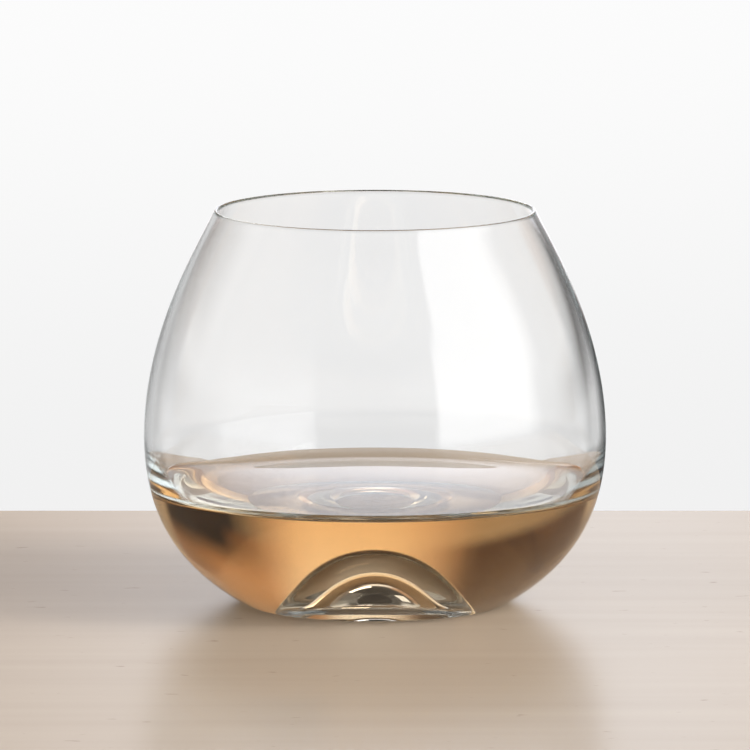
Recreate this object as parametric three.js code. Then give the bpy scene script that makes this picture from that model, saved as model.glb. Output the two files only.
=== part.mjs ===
// A stemless cognac glass with a round belly, a drawn-in rim and a dome pushed up into its base,
// and the drink that stands in it. Millimetres, +Z up, origin at the middle of the foot.
import * as THREE from "three";

// Outside of the glass
const HEIGHT = 90; // foot to the top of the rim
const BELLY_RADIUS = 52.8; // widest outside radius
const BELLY_HEIGHT = 37.8; // height of the widest place
const SHOULDER_REACH = 25; // how far the belly's upright line carries on upwards before it leans in
const HIP_REACH = 19; // how far the belly's upright line carries on downwards before it turns under

// Rim: a fire-polished round edge at the end of the leaning wall
const RIM_RADIUS = 36.3; // middle of the wall at the rim
const RIM_WALL = 0.8;
const RIM_LEAN = THREE.MathUtils.degToRad(24); // lean of the wall from upright
const RIM_REACH = 8; // how far the lean carries on down the wall

// Foot: a flat ring with a rounded outer edge
const FOOT_RADIUS = 30.5; // where the wall meets the foot's edge
const FOOT_EDGE = 0.8; // radius of that edge
const FOOT_RISE = THREE.MathUtils.degToRad(29); // rise of the wall from flat, at the foot
const FOOT_REACH = 15; // how far that rise carries on up the wall

// Hollow under the base: a round cap with a rounded mouth in the flat underside
const PUNT_HEIGHT = 12.9; // top of the hollow above the foot
const PUNT_RADIUS = 13; // of the cap
const PUNT_EDGE = 2; // rounding of the mouth

// Dome over the hollow, on the inside: a round cap that runs into a trough
const DOME_RADIUS = 20.4; // of the cap
const DOME_WALL = 5; // glass between the hollow and the dome, at the axis
const TROUGH_FILLET = 3; // rounding between the dome and the trough

// Inside of the glass
const BELLY_WALL = 1.6;
const TROUGH_WALL = 7.5; // glass under the trough
const TROUGH_REACH = 14; // how far the inside runs level from the trough towards the wall
const INNER_HIP_REACH = 18; // as HIP_REACH, on the inside

// Drink
const FILL_HEIGHT = 25.3; // flat surface above the foot
const CAPILLARY_LENGTH = 2.5; // sets how high and how far the wetted edge climbs
const EDGE_LEAN = THREE.MathUtils.degToRad(38); // lean of the surface from upright, where it meets the wall
const CLIMB = CAPILLARY_LENGTH * Math.sqrt(2 * (1 - Math.sin(EDGE_LEAN))); // of the edge above the flat surface
const DRINK_CLEARANCE = 0.3; // gap to the glass

// Fineness of the mesh
const SEGMENTS = 64;
const CAP_STEPS = 8;
const FILLET_STEPS = 4;
const WALL_STEPS = 11;
const RIM_STEPS = 6;
const FOOT_EDGE_STEPS = 3;
const MENISCUS_STEPS = 6;

const GLASS = new THREE.MeshStandardMaterial({
  color: 0xeef2f2,
  roughness: 0.02,
  metalness: 0,
  transparent: true,
  opacity: 0.35,
});
const COGNAC = new THREE.MeshStandardMaterial({ color: 0xd08a3c, roughness: 0.03, metalness: 0 });

const point = (radius, height) => new THREE.Vector2(radius, height);
const curve = (...points) => new THREE.CubicBezierCurve(...points);

// The rim's round edge, and the two ends of the wall that run into it
const rimMiddle = point(RIM_RADIUS, HEIGHT - RIM_WALL / 2);
const rimOutward = point(Math.cos(RIM_LEAN), Math.sin(RIM_LEAN));
const rimDownWall = point(Math.sin(RIM_LEAN), -Math.cos(RIM_LEAN));
const rimOutside = rimMiddle.clone().addScaledVector(rimOutward, RIM_WALL / 2);
const rimInside = rimMiddle.clone().addScaledVector(rimOutward, -RIM_WALL / 2);
const rimEdge = arc(rimMiddle, RIM_WALL / 2, RIM_LEAN, RIM_LEAN + Math.PI);

// The foot's round edge runs from straight down to square with the wall above it
const footEdgeEnd = FOOT_RISE - Math.PI / 2;
const footUpWall = point(Math.cos(FOOT_RISE), Math.sin(FOOT_RISE));
const footMiddle = point(FOOT_RADIUS - FOOT_EDGE * Math.cos(footEdgeEnd), FOOT_EDGE);
const footEdge = arc(footMiddle, FOOT_EDGE, -Math.PI / 2, footEdgeEnd);

function arc(middle, radius, from, to, clockwise = false) {
  return new THREE.EllipseCurve(middle.x, middle.y, radius, radius, from, to, clockwise);
}

// A round cap from its top on the axis outwards, and the fillet that leads from it to a level floor
function capAndFillet(radius, top, fillet, floor) {
  const capMiddle = point(0, top - radius);
  const filletHeight = floor + fillet;
  const rise = filletHeight - capMiddle.y;
  const filletMiddle = point(Math.sqrt((radius + fillet) ** 2 - rise ** 2), filletHeight);
  const meet = Math.atan2(rise, filletMiddle.x);
  return {
    cap: arc(capMiddle, radius, Math.PI / 2, meet, true),
    fillet: arc(filletMiddle, fillet, meet - Math.PI, -Math.PI / 2),
  };
}

// Outside of the wall, from the foot's edge up to the rim
function outerWall() {
  const foot = footEdge.getPoint(1);
  const belly = point(BELLY_RADIUS, BELLY_HEIGHT);
  const lower = curve(
    foot,
    foot.clone().addScaledVector(footUpWall, FOOT_REACH),
    point(BELLY_RADIUS, BELLY_HEIGHT - HIP_REACH),
    belly,
  );
  const upper = curve(
    belly,
    point(BELLY_RADIUS, BELLY_HEIGHT + SHOULDER_REACH),
    rimOutside.clone().addScaledVector(rimDownWall, RIM_REACH),
    rimOutside,
  );
  return [...lower.getPoints(WALL_STEPS), ...upper.getPoints(WALL_STEPS)];
}

// Underside, from the top of the hollow out to its mouth
function underside() {
  const { cap, fillet } = capAndFillet(PUNT_RADIUS, PUNT_HEIGHT, PUNT_EDGE, 0);
  return [...cap.getPoints(CAP_STEPS), ...fillet.getPoints(FILLET_STEPS)];
}

// Inside of the glass, from the top of the dome out through the trough and up to the rim,
// moved away from the glass by the given distance
function inside(distance) {
  const bellyRadius = BELLY_RADIUS - BELLY_WALL;
  const belly = point(bellyRadius, BELLY_HEIGHT);
  const { cap, fillet } = capAndFillet(DOME_RADIUS, PUNT_HEIGHT + DOME_WALL, TROUGH_FILLET, TROUGH_WALL);
  const trough = fillet.getPoint(1);
  const lower = curve(
    trough,
    point(trough.x + TROUGH_REACH, TROUGH_WALL),
    point(bellyRadius, BELLY_HEIGHT - INNER_HIP_REACH),
    belly,
  );
  const upper = curve(
    belly,
    point(bellyRadius, BELLY_HEIGHT + SHOULDER_REACH),
    rimInside.clone().addScaledVector(rimDownWall, RIM_REACH),
    rimInside,
  );
  return [
    ...moved(cap, CAP_STEPS, distance),
    ...moved(fillet, FILLET_STEPS, distance),
    ...moved(lower, WALL_STEPS, distance),
    ...moved(upper, WALL_STEPS, distance),
  ];
}

// Points along a curve, each moved to the left of the way the curve runs
function moved(path, steps, distance) {
  const points = path.getPoints(steps);
  return points.map((place, i) => {
    const along = path.getTangent(i / steps);
    return point(place.x - along.y * distance, place.y + along.x * distance);
  });
}

// The drink's free surface, from the wall to the axis: the shape of a liquid that climbs a wall it wets
function freeSurface(wallRadius) {
  const reach = (rise) => {
    const share = rise / CAPILLARY_LENGTH;
    return CAPILLARY_LENGTH * (Math.acosh(2 / share) - Math.sqrt(4 - share * share));
  };
  const points = [];
  for (let i = 1; i <= MENISCUS_STEPS; i++) {
    const rise = CLIMB * Math.pow(1 - i / (MENISCUS_STEPS + 1), 2);
    points.push(point(wallRadius - reach(rise) + reach(CLIMB), FILL_HEIGHT + rise));
  }
  return [...points, point(0, FILL_HEIGHT)];
}

// The part of an outline that lies under a height, ended exactly at that height
function upTo(outline, height) {
  const end = outline.findIndex((place) => place.y > height);
  const below = outline[end - 1];
  const above = outline[end];
  const share = (height - below.y) / (above.y - below.y);
  return [...outline.slice(0, end), below.clone().lerp(above, share)];
}

// Repeated points, where one stretch of an outline ends and the next begins, are left out
function joined(...stretches) {
  const outline = stretches.flat();
  return outline.filter((place, i) => i === 0 || place.distanceTo(outline[i - 1]) > 1e-6);
}

function revolved(name, outline, material) {
  const onAxis = outline.map((place, i) => (i === 0 || i === outline.length - 1 ? point(0, place.y) : place));
  const mesh = new THREE.Mesh(new THREE.LatheGeometry(onAxis, SEGMENTS), material);
  mesh.name = name;
  mesh.rotation.x = Math.PI / 2;
  return mesh;
}

function glass() {
  const outline = joined(
    underside(),
    footEdge.getPoints(FOOT_EDGE_STEPS),
    outerWall(),
    rimEdge.getPoints(RIM_STEPS),
    inside(0).reverse(),
  );
  return revolved("glass", outline, GLASS);
}

function cognac() {
  const wetted = upTo(inside(DRINK_CLEARANCE), FILL_HEIGHT + CLIMB);
  const wallRadius = wetted[wetted.length - 1].x;
  return revolved("cognac", joined(wetted, freeSurface(wallRadius)), COGNAC);
}

const object = new THREE.Group();
object.add(glass(), cognac());

export default object;
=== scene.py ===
"""A stemless cognac glass with a domed base, and the drink in it, on a pale table in a soft studio light."""
import math

import bpy
import numpy as np
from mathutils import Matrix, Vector


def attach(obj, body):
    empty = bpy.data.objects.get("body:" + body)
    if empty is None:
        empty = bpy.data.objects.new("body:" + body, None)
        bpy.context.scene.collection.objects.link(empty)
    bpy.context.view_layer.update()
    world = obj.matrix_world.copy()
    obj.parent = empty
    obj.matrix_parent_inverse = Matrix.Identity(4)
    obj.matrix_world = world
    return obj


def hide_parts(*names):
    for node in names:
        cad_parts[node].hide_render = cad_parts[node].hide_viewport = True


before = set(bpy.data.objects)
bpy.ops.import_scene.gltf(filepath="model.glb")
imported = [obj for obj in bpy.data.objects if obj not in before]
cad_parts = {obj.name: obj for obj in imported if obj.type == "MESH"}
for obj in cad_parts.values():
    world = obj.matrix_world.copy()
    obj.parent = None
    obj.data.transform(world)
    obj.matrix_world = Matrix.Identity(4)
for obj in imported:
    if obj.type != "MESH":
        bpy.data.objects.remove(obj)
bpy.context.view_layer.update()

MM = 0.001

# Outside of the glass, in millimetres, as in the part's source
HEIGHT = 90
BELLY_RADIUS = 52.8
BELLY_HEIGHT = 37.8
SHOULDER_REACH = 25
HIP_REACH = 19
RIM_RADIUS = 36.3
RIM_WALL = 0.8
RIM_LEAN = math.radians(24)
RIM_REACH = 8
FOOT_RADIUS = 30.5
FOOT_EDGE = 0.8
FOOT_RISE = math.radians(29)
FOOT_REACH = 15

# Hollow under the base, dome over it, and inside of the glass
PUNT_HEIGHT = 12.9
PUNT_RADIUS = 13
PUNT_EDGE = 2
DOME_RADIUS = 20.4
DOME_WALL = 5
TROUGH_FILLET = 3
BELLY_WALL = 1.6
TROUGH_WALL = 7.5
TROUGH_REACH = 14
INNER_HIP_REACH = 18

# Drink: it wets the glass, so only a hair's breadth parts the two surfaces here
FILL_HEIGHT = 25.3
CAPILLARY_LENGTH = 2.5
EDGE_LEAN = math.radians(38)  # of the drink's surface from upright, where it meets the wall
CLIMB = CAPILLARY_LENGTH * math.sqrt(2 * (1 - math.sin(EDGE_LEAN)))
DRINK_GAP = 0.02

# Fineness of the meshes
SEGMENTS = 192
CURVE_STEPS = 48
CAP_STEPS = 40
FILLET_STEPS = 20
EDGE_STEPS = 10
FLAT_STEPS = 14
MENISCUS_STEPS = 40
SAME_POINT = 1e-6  # millimetres under which two points count as one

# Optics
INDEX_NAME = "refractive_index"
GLASS_IOR = 1.52
DRINK_IOR = 1.36
NO_BEND = 1.0  # at the sides of the drink, where the glass beside it already bends the light
GLASS_PATH = 100 * MM  # along the wall
GLASS_PASSES = (0.5, 0.54, 0.54)  # share of red, green and blue that gets through that path
DRINK_PATH = 95 * MM  # through the belly of the drink
DRINK_PASSES = (0.49, 0.236, 0.0735)  # share of red, green and blue that gets through that path
MOST_ABSORBED = 0.98  # share of a material's density that the most absorbed colour meets
WAVES_PER_METRE = 45  # in the blown surface
WAVE_DETAIL = 1
WAVE_DEPTH = 0.02 * MM
BOUNCES = 128  # light crosses many clear surfaces here before it ends

# Studio: brightness of the room by direction, in bands of height. Directions are in degrees, 0 behind the
# glass and + to the right. A stop whose light isn't neutral has a tint too.
NEUTRAL = (1, 1, 1)
WARM = (1, 0.62, 0.38)
FLOOR = (
    (-180, 0.82), (-62, 0.6), (-12, 0.6), (-6, 0.82), (5, 0.82), (8, 0.1), (22, 0.1), (38, 0.4), (62, 0.4),
    (80, 0.82), (180, 0.82),
)
UNDER = (
    (-180, 0.5), (-62, 0.5), (-50, 0.8), (-38, 0.8), (-27, 0.6), (-17, 0.5), (-10, 0.6), (-6, 0.95),
    (5, 0.95), (8, 0.12), (16, 0.12), (27, 0.57), (38, 1.15), (50, 1.15), (62, 0.4), (180, 0.5),
)
LOW = (
    (-180, 0.4), (-150, 0.4), (-140, 1.2), (-110, 1.2), (-75, 0.5), (-60, 0.3), (-40, 0.4), (-19, 0.75),
    (6, 0.75), (10, 0.35), (20, 0.35), (24, 0.01, WARM), (60, 0.01, WARM), (75, 0.7), (86, 1), (96, 2.8),
    (146, 2.8), (150, 0.5), (180, 0.4),
)
LOWER_MIDDLE = (
    (-180, 0.8), (-140, 1.2), (-56, 1), (-51, 0.15, WARM), (-14, 0.12, WARM), (-6, 0.35, WARM),
    (14, 0.4, WARM), (22, 0.35, WARM), (27, 0.01, WARM), (48, 0.01, WARM), (54, 1), (86, 1.1), (96, 3),
    (146, 3), (149, 0.9), (180, 0.8),
)
MIDDLE = (
    (-180, 1), (-76, 1.15), (-62, 0.4), (-45, 0.15, WARM), (-12, 0.15, WARM), (-4, 0.4), (10, 0.4),
    (16, 0.8, WARM), (30, 0.8, WARM), (38, 0.55, WARM), (46, 0.55, WARM), (56, 1), (80, 1.15), (92, 3),
    (146, 3), (149, 1.2), (180, 1),
)
HIGH = (
    (-180, 1.2), (-78, 1.2), (-60, 0.3), (-40, 0.02), (55, 0.02), (70, 1.1), (82, 1.2), (96, 3), (143, 3),
    (146, 1.3), (180, 1.2),
)
CEILING = ((-180, 0.03), (180, 0.03))
BANDS = (  # heights in degrees over which a band takes over from the one under it
    ((-10.6, -8.2), UNDER),
    ((-4, 1), LOW),
    ((3.5, 7), LOWER_MIDDLE),
    ((7.2, 15), MIDDLE),
    ((24, 32), HIGH),
    ((44, 56), CEILING),
)

# Backdrop: brightness, as the camera sees it, from low to high over a span of heights in degrees. The glass
# shows a part of it too: a share by direction, which rises and falls again over these heights.
BACKDROP_LOW = 0.88
BACKDROP_HIGH = 0.97
BACKDROP_SPAN = (-9, -6)
BEHIND = ((-180, 0), (-10, 0), (-6, 1), (5, 1), (8, 0), (180, 0))
BEHIND_RISES = (-10.6, -8.2)
BEHIND_FALLS = (1, -4)

# Glow on the wall behind the table, in metres: it fades in and out over these stretches
GLOW_DISTANCE = 0.8
GLOW_BRIGHTNESS = 1.95
GLOW_TINT = (0.97, 1, 1.08)
GLOW_EDGE_TINT = (1, 0.84, 0.8)
GLOW_ACROSS = (-0.22, 0.01, 0.085, 0.28)
GLOW_UP = (-0.006, 0.012, 0.32, 0.42)

# Soft lamps: name, direction and height in degrees, width, height and distance in metres, brightness
KEY_LAMP = ("key_lamp", 112, 30, 0.4, 0.34, 1.3, 16)
BACK_LAMPS = (
    ("back_lamp_left", -13, 28, 0.42, 0.26, 1.4, 4.4),
    ("back_lamp_right", 42, 42, 0.4, 0.36, 1.4, 1.7),
)

# Camera, from the photograph's own perspective, in metres and radians
IMAGE_WIDTH = 750  # of the photograph, in pixels
FOCAL_PIXELS = 10623
SENSOR = 36  # millimetres wide
CAMERA_PLACE = (0, -2.4, 0.3963)
CAMERA_DOWN = 0.1425

# Table, in metres, and its wood: grain and flecks come this often to the metre along x, y and z
TABLE_BACK = 0.132
TABLE_FRONT = -0.9
TABLE_HALF_WIDTH = 1.0
TABLE_THICKNESS = 0.03
TABLE_DROP = 0.00005  # keeps the table's top just under the foot
GRAIN_FINENESS = (5, 90, 5)
GRAIN_DETAIL = 6
DARK_GRAIN = (0.3, (0.54, 0.433, 0.33))  # a height of the noise, and the colour there
PALE_GRAIN = (0.7, (0.57, 0.461, 0.353))
FLECK_FINENESS = (150, 260, 1)
FLECK_DETAIL = 2
CLEAN = (0.7, (1, 1, 1))  # a height of the noise, and what the wood's colour is multiplied by there
FLECK = (0.76, (0.78, 0.75, 0.75))
COAT_WEIGHT = 0.75
COAT_IOR = 1.3
COAT_ROUGHNESS = 0.27


def place(radius, height):
    return np.array([radius, height], float)


def bezier(start, leaving, arriving, end):
    t = np.linspace(0, 1, CURVE_STEPS + 1)[:, None]
    return (
        (1 - t) ** 3 * start
        + 3 * (1 - t) ** 2 * t * leaving
        + 3 * (1 - t) * t ** 2 * arriving
        + t ** 3 * end
    )


def line(start, end, steps):
    t = np.linspace(0, 1, steps + 1)[:, None]
    return (1 - t) * start + t * end


def arc(middle, radius, start, end, steps):
    angle = np.linspace(start, end, steps + 1)
    return middle + radius * np.stack([np.cos(angle), np.sin(angle)], axis=1)


def joined(*stretches):
    """Stretches of outline one after the other, without the repeated points where they meet."""
    outline = np.vstack(stretches)
    step = np.linalg.norm(np.diff(outline, axis=0), axis=1)
    return outline[np.concatenate([[True], step > SAME_POINT])]


def cap_and_fillet(radius, top, fillet, floor):
    """A round cap from its top on the axis outwards, and the fillet that leads from it to a level floor."""
    cap_height = top - radius
    rise = floor + fillet - cap_height
    fillet_radius = math.sqrt((radius + fillet) ** 2 - rise ** 2)
    meet = math.atan2(rise, fillet_radius)
    cap = arc(place(0, cap_height), radius, math.pi / 2, meet, CAP_STEPS)
    cap[0, 0] = 0
    turn = arc(place(fillet_radius, floor + fillet), fillet, meet - math.pi, -math.pi / 2, FILLET_STEPS)
    return joined(cap, turn)


def rim():
    """The rim's round edge, from the outside of the wall to the inside, and the way down the wall."""
    middle = place(RIM_RADIUS, HEIGHT - RIM_WALL / 2)
    down = place(math.sin(RIM_LEAN), -math.cos(RIM_LEAN))
    return arc(middle, RIM_WALL / 2, RIM_LEAN, RIM_LEAN + math.pi, EDGE_STEPS), down


def outside():
    """From the top of the hollow under the base, out over the foot, up to the rim and over it."""
    hollow = cap_and_fillet(PUNT_RADIUS, PUNT_HEIGHT, PUNT_EDGE, 0)
    edge_end = FOOT_RISE - math.pi / 2
    foot_middle = place(FOOT_RADIUS - FOOT_EDGE * math.cos(edge_end), FOOT_EDGE)
    foot_edge = arc(foot_middle, FOOT_EDGE, -math.pi / 2, edge_end, EDGE_STEPS)
    rim_edge, down = rim()
    belly = place(BELLY_RADIUS, BELLY_HEIGHT)
    up_wall = place(math.cos(FOOT_RISE), math.sin(FOOT_RISE))
    lower = bezier(
        foot_edge[-1],
        foot_edge[-1] + FOOT_REACH * up_wall,
        belly - place(0, HIP_REACH),
        belly,
    )
    upper = bezier(belly, belly + place(0, SHOULDER_REACH), rim_edge[0] + RIM_REACH * down, rim_edge[0])
    return joined(hollow, line(hollow[-1], foot_edge[0], FLAT_STEPS), foot_edge, lower, upper, rim_edge)


def inside():
    """From the top of the dome, out through the trough and up to the rim."""
    dome = cap_and_fillet(DOME_RADIUS, PUNT_HEIGHT + DOME_WALL, TROUGH_FILLET, TROUGH_WALL)
    rim_edge, down = rim()
    belly = place(BELLY_RADIUS - BELLY_WALL, BELLY_HEIGHT)
    lower = bezier(
        dome[-1],
        dome[-1] + place(TROUGH_REACH, 0),
        belly - place(0, INNER_HIP_REACH),
        belly,
    )
    upper = bezier(belly, belly + place(0, SHOULDER_REACH), rim_edge[-1] + RIM_REACH * down, rim_edge[-1])
    return joined(dome, lower, upper)


def split_at_wetted_edge(outline):
    """The parts of the inside that lie under and over the line that the drink climbs to."""
    edge_height = FILL_HEIGHT + CLIMB
    above = int(np.argmax(outline[:, 1] > edge_height))
    low, high = outline[above - 1], outline[above]
    edge = low + (high - low) * (edge_height - low[1]) / (high[1] - low[1])
    return np.vstack([outline[:above], edge]), np.vstack([edge, outline[above:]])


def moved_off(outline, distance):
    """An outline moved to the left of the way it runs."""
    along = np.gradient(outline, axis=0)
    along /= np.linalg.norm(along, axis=1)[:, None]
    moved = outline + distance * np.stack([-along[:, 1], along[:, 0]], axis=1)
    moved[0, 0] = 0
    return moved


def free_surface(wall_radius):
    """The drink's surface from the wall to the axis: a liquid that climbs a wall it wets."""

    def reach(rise):
        share = rise / CAPILLARY_LENGTH
        return CAPILLARY_LENGTH * (np.arccosh(2 / share) - np.sqrt(4 - share ** 2))

    rise = CLIMB * (1 - np.arange(1, MENISCUS_STEPS + 1) / (MENISCUS_STEPS + 1)) ** 2
    raised = np.stack([wall_radius - reach(rise) + reach(CLIMB), FILL_HEIGHT + rise], axis=1)
    return joined(raised, line(raised[-1], place(0, FILL_HEIGHT), FLAT_STEPS))


def add_object(name, vertices, faces, material):
    mesh = bpy.data.meshes.new(name)
    mesh.from_pydata(vertices, [], faces)
    mesh.materials.append(material)
    piece = bpy.data.objects.new(name, mesh)
    bpy.context.scene.collection.objects.link(piece)
    return piece


def revolved(name, outline, ring_indices, material):
    """A mesh of the outline turned about the upright axis, with a refractive index for each ring of faces."""
    turn = 2 * math.pi * np.arange(SEGMENTS) / SEGMENTS
    vertices, rows = [], []
    for radius, height in outline * MM:
        if radius < SAME_POINT * MM:
            rows.append([len(vertices)] * SEGMENTS)
            vertices.append((0, 0, height))
        else:
            rows.append(range(len(vertices), len(vertices) + SEGMENTS))
            vertices += [(radius * math.cos(angle), radius * math.sin(angle), height) for angle in turn]
    faces = []
    for low, high in zip(rows, rows[1:]):
        for i in range(SEGMENTS):
            j = (i + 1) % SEGMENTS
            corners = (low[i], low[j], high[j], high[i])
            faces.append(tuple(dict.fromkeys(corners)))  # triangles on the axis
    piece = add_object(name, vertices, faces, material)
    piece.data.polygons.foreach_set("use_smooth", [True] * len(faces))
    index = piece.data.attributes.new(INDEX_NAME, "FLOAT", "FACE")
    index.data.foreach_set("value", np.repeat(ring_indices, SEGMENTS))
    return piece


def new_material(name):
    material = bpy.data.materials.new(name)
    material.use_nodes = True
    return material, material.node_tree


def calculated(tree, operation, *sources):
    node = tree.nodes.new("ShaderNodeMath")
    node.operation = operation
    for socket, source in zip(node.inputs, sources):
        tree.links.new(source, socket)
    return node.outputs["Value"]


def rising(tree, source, start, end, low=0, high=1):
    """From low to high, with soft ends, while the source goes from start to end."""
    node = tree.nodes.new("ShaderNodeMapRange")
    node.interpolation_type = "SMOOTHSTEP"
    node.inputs["From Min"].default_value = start
    node.inputs["From Max"].default_value = end
    node.inputs["To Min"].default_value = low
    node.inputs["To Max"].default_value = high
    tree.links.new(source, node.inputs["Value"])
    return node.outputs["Result"]


def mix_node(tree, blend="MIX"):
    node = tree.nodes.new("ShaderNodeMix")
    node.data_type = "RGBA"
    node.blend_type = blend
    return node


def coordinates(tree, kind):
    """Place on an object or direction in the room, as x, y and z."""
    where = tree.nodes.new("ShaderNodeTexCoord")
    parts = tree.nodes.new("ShaderNodeSeparateXYZ")
    tree.links.new(where.outputs[kind], parts.inputs["Vector"])
    return parts.outputs


def add_waves(tree):
    """Slow waves in a blown surface."""
    where = tree.nodes.new("ShaderNodeTexCoord")
    noise = tree.nodes.new("ShaderNodeTexNoise")
    noise.inputs["Scale"].default_value = WAVES_PER_METRE
    noise.inputs["Detail"].default_value = WAVE_DETAIL
    bump = tree.nodes.new("ShaderNodeBump")
    bump.inputs["Strength"].default_value = 1
    bump.inputs["Distance"].default_value = WAVE_DEPTH
    tree.links.new(where.outputs["Object"], noise.inputs["Vector"])
    tree.links.new(noise.outputs["Fac"], bump.inputs["Height"])
    tree.links.new(bump.outputs["Normal"], tree.nodes["Principled BSDF"].inputs["Normal"])


def clear_material(name, path, passes):
    """A polished clear material that lets these shares of red, green and blue through a path of this length.

    Its refractive index, against what touches it, is stored on each face.
    """
    material, tree = new_material(name)
    shader = tree.nodes["Principled BSDF"]
    shader.inputs["Base Color"].default_value = (1, 1, 1, 1)
    shader.inputs["Roughness"].default_value = 0
    shader.inputs["Transmission Weight"].default_value = 1
    index = tree.nodes.new("ShaderNodeAttribute")
    index.attribute_name = INDEX_NAME
    tree.links.new(index.outputs["Fac"], shader.inputs["IOR"])
    loss = [-math.log(share) / path for share in passes]
    density = max(loss) / MOST_ABSORBED
    absorption = tree.nodes.new("ShaderNodeVolumeAbsorption")
    absorption.inputs["Density"].default_value = density
    absorption.inputs["Color"].default_value = (*[1 - part / density for part in loss], 1)
    tree.links.new(absorption.outputs["Volume"], tree.nodes["Material Output"].inputs["Volume"])
    return material


def glass_material():
    material = clear_material("blown_glass", GLASS_PATH, GLASS_PASSES)
    add_waves(material.node_tree)
    return material


def drink_material():
    return clear_material("drink", DRINK_PATH, DRINK_PASSES)


def make_glass_and_drink():
    wet, dry = split_at_wetted_edge(inside())
    air_side = joined(outside(), dry[::-1])
    outline = joined(air_side, wet[::-1])
    air_rings = len(air_side) - 1
    wet_rings = len(outline) - 1 - air_rings
    indices = [GLASS_IOR] * air_rings + [GLASS_IOR / DRINK_IOR] * wet_rings
    glass = revolved("cognac_glass", outline, indices, glass_material())
    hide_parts("glass")
    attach(glass, "glass")

    sides = moved_off(wet, DRINK_GAP)
    body = joined(sides, free_surface(sides[-1, 0]))
    side_rings = len(sides) - 1
    indices = [NO_BEND] * side_rings + [DRINK_IOR] * (len(body) - 1 - side_rings)
    drink = revolved("drink", body, indices, drink_material())
    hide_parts("cognac")
    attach(drink, "cognac")


def noise_ramp(tree, per_metre, detail, low, high):
    """Noise of this fineness along x, y and z, as a ramp between two (height, colour) stops."""
    where = tree.nodes.new("ShaderNodeTexCoord")
    stretched = tree.nodes.new("ShaderNodeMapping")
    stretched.inputs["Scale"].default_value = per_metre
    noise = tree.nodes.new("ShaderNodeTexNoise")
    noise.inputs["Scale"].default_value = 1
    noise.inputs["Detail"].default_value = detail
    ramp = tree.nodes.new("ShaderNodeValToRGB")
    for element, (position, colour) in zip(ramp.color_ramp.elements, (low, high)):
        element.position = position
        element.color = (*colour, 1)
    tree.links.new(where.outputs["Object"], stretched.inputs["Vector"])
    tree.links.new(stretched.outputs["Vector"], noise.inputs["Vector"])
    tree.links.new(noise.outputs["Fac"], ramp.inputs["Fac"])
    return ramp.outputs["Color"]


def table_material():
    """Pale wood: faint streaks of two tones along the table, a few dark flecks, and a thin satin coat."""
    material, tree = new_material("pale_wood")
    shader = tree.nodes["Principled BSDF"]
    grain = noise_ramp(tree, GRAIN_FINENESS, GRAIN_DETAIL, DARK_GRAIN, PALE_GRAIN)
    flecks = noise_ramp(tree, FLECK_FINENESS, FLECK_DETAIL, CLEAN, FLECK)
    flecked = mix_node(tree, "MULTIPLY")
    flecked.inputs["Factor"].default_value = 1
    tree.links.new(grain, flecked.inputs["A"])
    tree.links.new(flecks, flecked.inputs["B"])
    tree.links.new(flecked.outputs["Result"], shader.inputs["Base Color"])
    shader.inputs["Specular IOR Level"].default_value = 0
    shader.inputs["Coat Weight"].default_value = COAT_WEIGHT
    shader.inputs["Coat IOR"].default_value = COAT_IOR
    shader.inputs["Coat Roughness"].default_value = COAT_ROUGHNESS
    return material


def make_table():
    low = Vector((-TABLE_HALF_WIDTH, TABLE_FRONT, -TABLE_THICKNESS))
    high = Vector((TABLE_HALF_WIDTH, TABLE_BACK, -TABLE_DROP))
    corners = [(x, y, z) for x in (low.x, high.x) for y in (low.y, high.y) for z in (low.z, high.z)]
    sides = [(0, 1, 3, 2), (4, 6, 7, 5), (0, 4, 5, 1), (2, 3, 7, 6), (0, 2, 6, 4), (1, 5, 7, 3)]
    table = add_object("table", corners, sides, table_material())


def band(tree, around, stops):
    """The colours of a band of the room, all the way round."""
    ramp = tree.nodes.new("ShaderNodeValToRGB")
    elements = ramp.color_ramp.elements
    elements.remove(elements[1])
    for i, (degrees, brightness, *tint) in enumerate(stops):
        position = (degrees + 180) / 360
        stop = elements.new(position) if i else elements[0]
        stop.position = position
        colour = tint[0] if tint else NEUTRAL
        stop.color = (*[brightness * part for part in colour], 1)
    tree.links.new(around, ramp.inputs["Fac"])
    return ramp.outputs["Color"]


def directions(tree):
    """Height in radians of a direction in the room, and its share of the way round."""
    way = coordinates(tree, "Generated")
    height = calculated(tree, "ARCSINE", way["Z"])
    turn = tree.nodes.new("ShaderNodeMapRange")
    turn.inputs["From Min"].default_value = -math.pi
    turn.inputs["From Max"].default_value = math.pi
    tree.links.new(calculated(tree, "ARCTAN2", way["X"], way["Y"]), turn.inputs["Value"])
    return height, turn.outputs["Result"]


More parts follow.
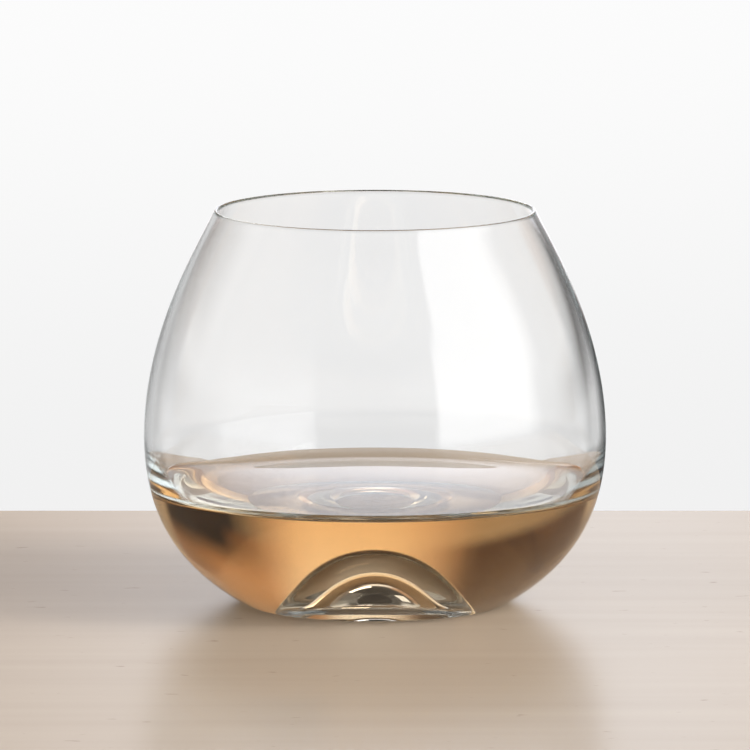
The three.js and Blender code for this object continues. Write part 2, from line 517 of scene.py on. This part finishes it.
def make_room():
    """The studio round the table: bright behind, dark screens beside, a dim ceiling, and a pale backdrop."""
    world = bpy.data.worlds.new("studio")
    bpy.context.scene.world = world
    world.use_nodes = True
    tree = world.node_tree
    height, around = directions(tree)

    def climbing(span, low=0, high=1):
        start, end = (math.radians(degrees) for degrees in span)
        return rising(tree, height, start, end, low, high)

    def mixed(share, first, second):
        node = mix_node(tree)
        tree.links.new(share, node.inputs["Factor"])
        tree.links.new(first, node.inputs["A"])
        tree.links.new(second, node.inputs["B"])
        return node.outputs["Result"]

    room = band(tree, around, FLOOR)
    for span, stops in BANDS:
        room = mixed(climbing(span), room, band(tree, around, stops))

    backdrop = climbing(BACKDROP_SPAN, BACKDROP_LOW, BACKDROP_HIGH)
    ray = tree.nodes.new("ShaderNodeLightPath").outputs
    in_glass = calculated(tree, "MAXIMUM", ray["Is Glossy Ray"], ray["Is Transmission Ray"])
    for share in (climbing(BEHIND_RISES), climbing(BEHIND_FALLS), band(tree, around, BEHIND)):
        in_glass = calculated(tree, "MULTIPLY", in_glass, share)
    shown = calculated(tree, "MAXIMUM", ray["Is Camera Ray"], in_glass)
    tree.links.new(mixed(shown, room, backdrop), tree.nodes["Background"].inputs["Color"])


def glow_material():
    """Light that fades out and turns warm towards the edges of the glow."""
    material, tree = new_material("glow")
    tree.nodes.remove(tree.nodes["Principled BSDF"])
    where = coordinates(tree, "Object")

    def between(source, start, start_full, end_full, end):
        fading_in = rising(tree, source, start, start_full)
        fading_out = rising(tree, source, end, end_full)
        return calculated(tree, "MULTIPLY", fading_in, fading_out)

    share = calculated(tree, "MULTIPLY", between(where["X"], *GLOW_ACROSS), between(where["Z"], *GLOW_UP))
    tint = mix_node(tree)
    tint.inputs["A"].default_value = (*GLOW_EDGE_TINT, 1)
    tint.inputs["B"].default_value = (*GLOW_TINT, 1)
    light = tree.nodes.new("ShaderNodeEmission")
    light.inputs["Strength"].default_value = GLOW_BRIGHTNESS
    clear = tree.nodes.new("ShaderNodeBsdfTransparent")
    mix = tree.nodes.new("ShaderNodeMixShader")
    tree.links.new(share, tint.inputs["Factor"])
    tree.links.new(tint.outputs["Result"], light.inputs["Color"])
    tree.links.new(share, mix.inputs["Fac"])
    tree.links.new(clear.outputs["BSDF"], mix.inputs[1])
    tree.links.new(light.outputs["Emission"], mix.inputs[2])
    tree.links.new(mix.outputs["Shader"], tree.nodes["Material Output"].inputs["Surface"])
    return material


def make_glow():
    """A glow on the wall behind the table. The camera doesn't see it."""
    left, right = GLOW_ACROSS[0], GLOW_ACROSS[-1]
    low, high = GLOW_UP[0], GLOW_UP[-1]
    corners = [(x, GLOW_DISTANCE, z) for x, z in ((left, low), (right, low), (right, high), (left, high))]
    panel = add_object("glow", corners, [(0, 1, 2, 3)], glow_material())
    panel.visible_camera = False


def soft_lamp(name, around, height, width, tall, distance, brightness):
    """A softbox that faces the middle of the foot."""
    lamp = bpy.data.lights.new(name, "AREA")
    lamp.shape = "RECTANGLE"
    lamp.size = width
    lamp.size_y = tall
    lamp.energy = brightness * math.pi * width * tall
    holder = bpy.data.objects.new(name, lamp)
    bpy.context.scene.collection.objects.link(holder)
    turn, lift = math.radians(around), math.radians(height)
    way = Vector((math.sin(turn) * math.cos(lift), math.cos(turn) * math.cos(lift), math.sin(lift)))
    holder.location = way * distance
    holder.rotation_euler = way.to_track_quat("Z", "Y").to_euler()
    holder.visible_camera = False
    return holder


def make_lamps():
    key = soft_lamp(*KEY_LAMP)
    key.visible_glossy = False  # the room has the bright panel that the glass shows there
    key.visible_transmission = False
    for lamp in BACK_LAMPS:
        soft_lamp(*lamp)


def make_camera():
    camera = bpy.data.cameras.new("camera")
    camera.sensor_width = SENSOR
    camera.lens = FOCAL_PIXELS / IMAGE_WIDTH * SENSOR
    holder = bpy.data.objects.new("camera", camera)
    bpy.context.scene.collection.objects.link(holder)
    holder.location = CAMERA_PLACE
    holder.rotation_euler = (math.pi / 2 - CAMERA_DOWN, 0, 0)
    bpy.context.scene.camera = holder


def set_rendering():
    scene = bpy.context.scene
    scene.view_settings.view_transform = "Standard"
    scene.cycles.max_bounces = BOUNCES
    scene.cycles.transmission_bounces = BOUNCES
    scene.cycles.glossy_bounces = BOUNCES


make_glass_and_drink()
make_table()
make_room()
make_glow()
make_lamps()
make_camera()
set_rendering()
